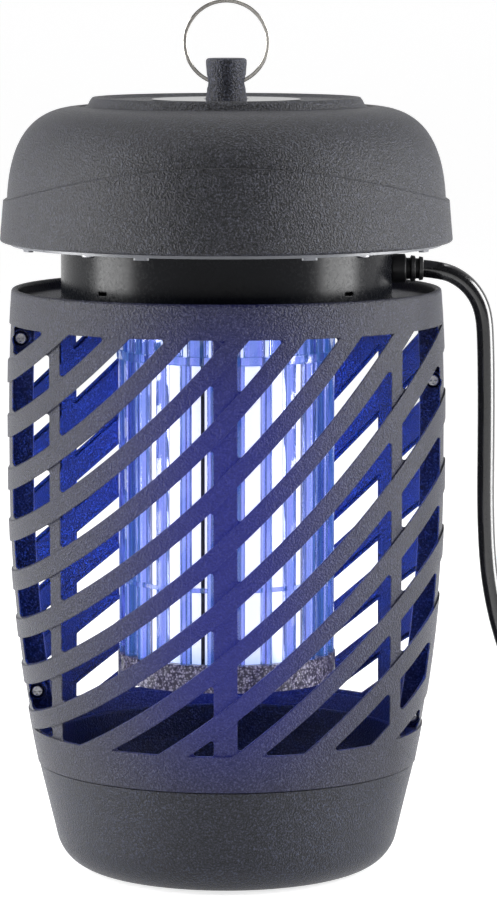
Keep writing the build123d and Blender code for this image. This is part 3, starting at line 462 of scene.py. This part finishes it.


# ---- materials of the CAD nodes ---------------------------------------------------------
# Colour of the painted lamp glow on the cage.
PAINTED_GLOW_INDIGO = (0.004, 0.008, 0.15)
FINISHES = {
    "cap_plastic": spark_plastic("cap_plastic", (0.004, 0.0042, 0.0055), (0.02, 0.021, 0.028)),
    "cage_plastic": spark_plastic("cage_plastic", (0.004, 0.0043, 0.0065), (0.02, 0.021, 0.031), PAINTED_GLOW_INDIGO),
    "tray_plastic": spark_plastic("tray_plastic", (0.003, 0.0035, 0.0058), (0.015, 0.017, 0.028)),
    "post_plastic": spark_plastic("post_plastic", (0.005, 0.0055, 0.009), (0.026, 0.028, 0.042)),
    "cover_plastic": satin_plastic("cover_plastic", (0.13, 0.135, 0.15), 0.32),
    "neck_plastic": gloss_plastic("neck_plastic", (0.004, 0.0045, 0.006), 0.22),
    "disc_plastic": gloss_plastic("disc_plastic", (0.012, 0.013, 0.017), 0.05, 0.01),
    # The last two values of the clear plastic are its painted glow colour and strength.
    "clear_plastic": clear_plastic("clear_plastic", (0.3, 0.34, 0.8), 0.03, (0.15, 0.45, 1.0), 0.2),
    "frosted_plastic": frosted_plastic("frosted_plastic"),
    "sleeve_plastic": lit_sleeve("sleeve_plastic"),
    "lamp_glass": lit_sleeve("lamp_glass"),
    "lamp_white": satin_plastic("lamp_white", (0.75, 0.74, 0.7), 0.35),
    "ring_steel": metal("ring_steel", (0.5, 0.48, 0.45), 0.16),
    "screw_steel": metal("screw_steel", (0.42, 0.42, 0.44), 0.3),
    "rod_steel": metal("rod_steel", (0.55, 0.56, 0.6), 0.22, (1.0, 1.0, 0.03)),
    "board_resin": laminate("board_resin"),
    "core_steel": metal("core_steel", (0.12, 0.12, 0.13), 0.45, (0.05, 0.05, 1.0), 0.4),
    "winding_copper": windings("winding_copper"),
    "capacitor_sleeve": gloss_plastic("capacitor_sleeve", (0.01, 0.03, 0.2), 0.2),
    "diode_resin": satin_plastic("diode_resin", (0.015, 0.015, 0.015), 0.5),
    "terminal_plastic": satin_plastic("terminal_plastic", (0.6, 0.6, 0.54), 0.3),
    "wire_black": rubber("wire_black", (0.012, 0.012, 0.013), 0.3),
    "wire_red": rubber("wire_red", (0.4, 0.012, 0.012), 0.3),
    "relief_rubber": rubber("relief_rubber", (0.009, 0.009, 0.01), 0.38),
    "cord_pvc": cord_pvc("cord_pvc"),
    "plug_pvc": satin_plastic("plug_pvc", (0.012, 0.012, 0.013), 0.34),
    "blade_brass": metal("blade_brass", (0.75, 0.6, 0.32), 0.24, (1.0, 0.05, 1.0)),
}


def dress():
    """Every CAD node takes the finish of its own material slot."""
    for part in frame["record"]["subparts"]:
        node = nodes[part["node"]]
        node.data.materials.clear()
        node.data.materials.append(FINISHES[part["material_slot"]])
    cord.data.materials.append(FINISHES["cord_pvc"])


dress()

# ---- stage and lights -------------------------------------------------------------------
FLOOR_HALF = 45.0
FLOOR_LIGHT = 0.74
SOFT_BOXES = [  # name, place, width and height, watts
    ("left_box", (-1.0, -0.12, 0.4), (0.6, 1.0), 25.0),
    ("right_box", (1.0, -0.12, 0.4), (0.6, 1.0), 26.0),
    ("top_box", (0.0, 0.25, 1.2), (0.9, 0.5), 6.0),
]
SOFT_BOX_AIM = (0, 0, 0.16)
WORLD_FRONT, WORLD_BACK = 0.03, 0.7  # strengths that light the object
WORLD_FRONT_Y, WORLD_BACK_Y = -0.3, 0.5  # directions between which one turns into the other
BACKDROP = 0.96  # strength where the world is seen directly


def make_floor():
    """Wide pale floor; it follows the tray, so that the tray stays on it when it is pulled off."""
    mesh = bpy.data.meshes.new("floor")
    corners = [(x * FLOOR_HALF, y * FLOOR_HALF, 0) for x, y in ((-1, -1), (1, -1), (1, 1), (-1, 1))]
    mesh.from_pydata(corners, [], [(0, 1, 2, 3)])
    floor = bpy.data.objects.new("floor", mesh)
    scene.collection.objects.link(floor)
    finish = Finish("floor_paint", Base_Color=(0.55, 0.55, 0.555), Roughness=0.6)
    finish.set("Emission Color", (1.0, 1.0, 1.0))
    finish.set("Emission Strength", FLOOR_LIGHT)
    floor.data.materials.append(finish.material)
    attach(floor, "tray")


def area_light(name, place, aim, size, power, colour=(1.0, 1.0, 1.0), seen=True):
    """Rectangular light towards a point; seen says whether it shows in reflections."""
    data = bpy.data.lights.new(name, "AREA")
    data.shape = "RECTANGLE"
    data.size, data.size_y = size
    data.energy = power
    data.color = colour
    light = bpy.data.objects.new(name, data)
    scene.collection.objects.link(light)
    light.location = place
    light.rotation_euler = (Vector(aim) - Vector(place)).to_track_quat("-Z", "Y").to_euler()
    light.visible_camera = False
    light.visible_glossy = seen
    light.visible_transmission = seen
    return light


def make_studio():
    """Two tall soft boxes beside the object and one overhead, a little behind it."""
    for name, place, size, power in SOFT_BOXES:
        area_light(name, place, SOFT_BOX_AIM, size, power)


def make_world():
    """White surroundings behind the object and dark ones in front, so that dark plastic keeps its depth."""
    world = bpy.data.worlds.new("studio")
    scene.world = world
    world.use_nodes = True
    tree = world.node_tree
    background = tree.nodes["Background"]
    place = tree.nodes.new("ShaderNodeTexCoord")
    split = tree.nodes.new("ShaderNodeSeparateXYZ")
    tree.links.new(place.outputs["Generated"], split.inputs[0])
    ramp = tree.nodes.new("ShaderNodeMapRange")
    ramp.inputs["From Min"].default_value = WORLD_FRONT_Y
    ramp.inputs["From Max"].default_value = WORLD_BACK_Y
    ramp.inputs["To Min"].default_value = WORLD_FRONT
    ramp.inputs["To Max"].default_value = WORLD_BACK
    tree.links.new(split.outputs["Y"], ramp.inputs["Value"])
    seen = tree.nodes.new("ShaderNodeLightPath")
    backdrop = tree.nodes.new("ShaderNodeMix")
    tree.links.new(seen.outputs["Is Camera Ray"], backdrop.inputs[0])
    tree.links.new(ramp.outputs["Result"], backdrop.inputs[2])
    backdrop.inputs[3].default_value = BACKDROP
    tree.links.new(backdrop.outputs[0], background.inputs["Strength"])
    background.inputs["Color"].default_value = (1.0, 1.0, 1.0, 1)


LAMP_BLUE = (0.02, 0.13, 1.0)
GLOW_LIGHTS = 10
GLOW_WIDTH = 0.01
GLOW_POWER = 0.2
GLOW_GAP = 0.002  # the lights stand this far outside the column


def make_glow():
    """Blue light that the column throws on the inside of the cage; it reaches only the object."""
    low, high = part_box("grid_frame")
    centre_z, height = (low.z + high.z) / 2, high.z - low.z
    radius = high.x + GLOW_GAP
    lit = bpy.data.collections.new("lit_by_lamp")
    for node in nodes.values():
        lit.objects.link(node)
    for index in range(GLOW_LIGHTS):
        angle = 2 * math.pi * (index + 0.5) / GLOW_LIGHTS
        place = Vector((radius * math.cos(angle), radius * math.sin(angle), centre_z))
        outwards = place * 2 - Vector((0, 0, centre_z))
        size = (GLOW_WIDTH, height)
        light = area_light(f"glow_{index}", place, outwards, size, GLOW_POWER, LAMP_BLUE, seen=False)
        light.light_linking.receiver_collection = lit


make_floor()
make_studio()
make_world()
make_glow()
scene.view_settings.view_transform = "Standard"
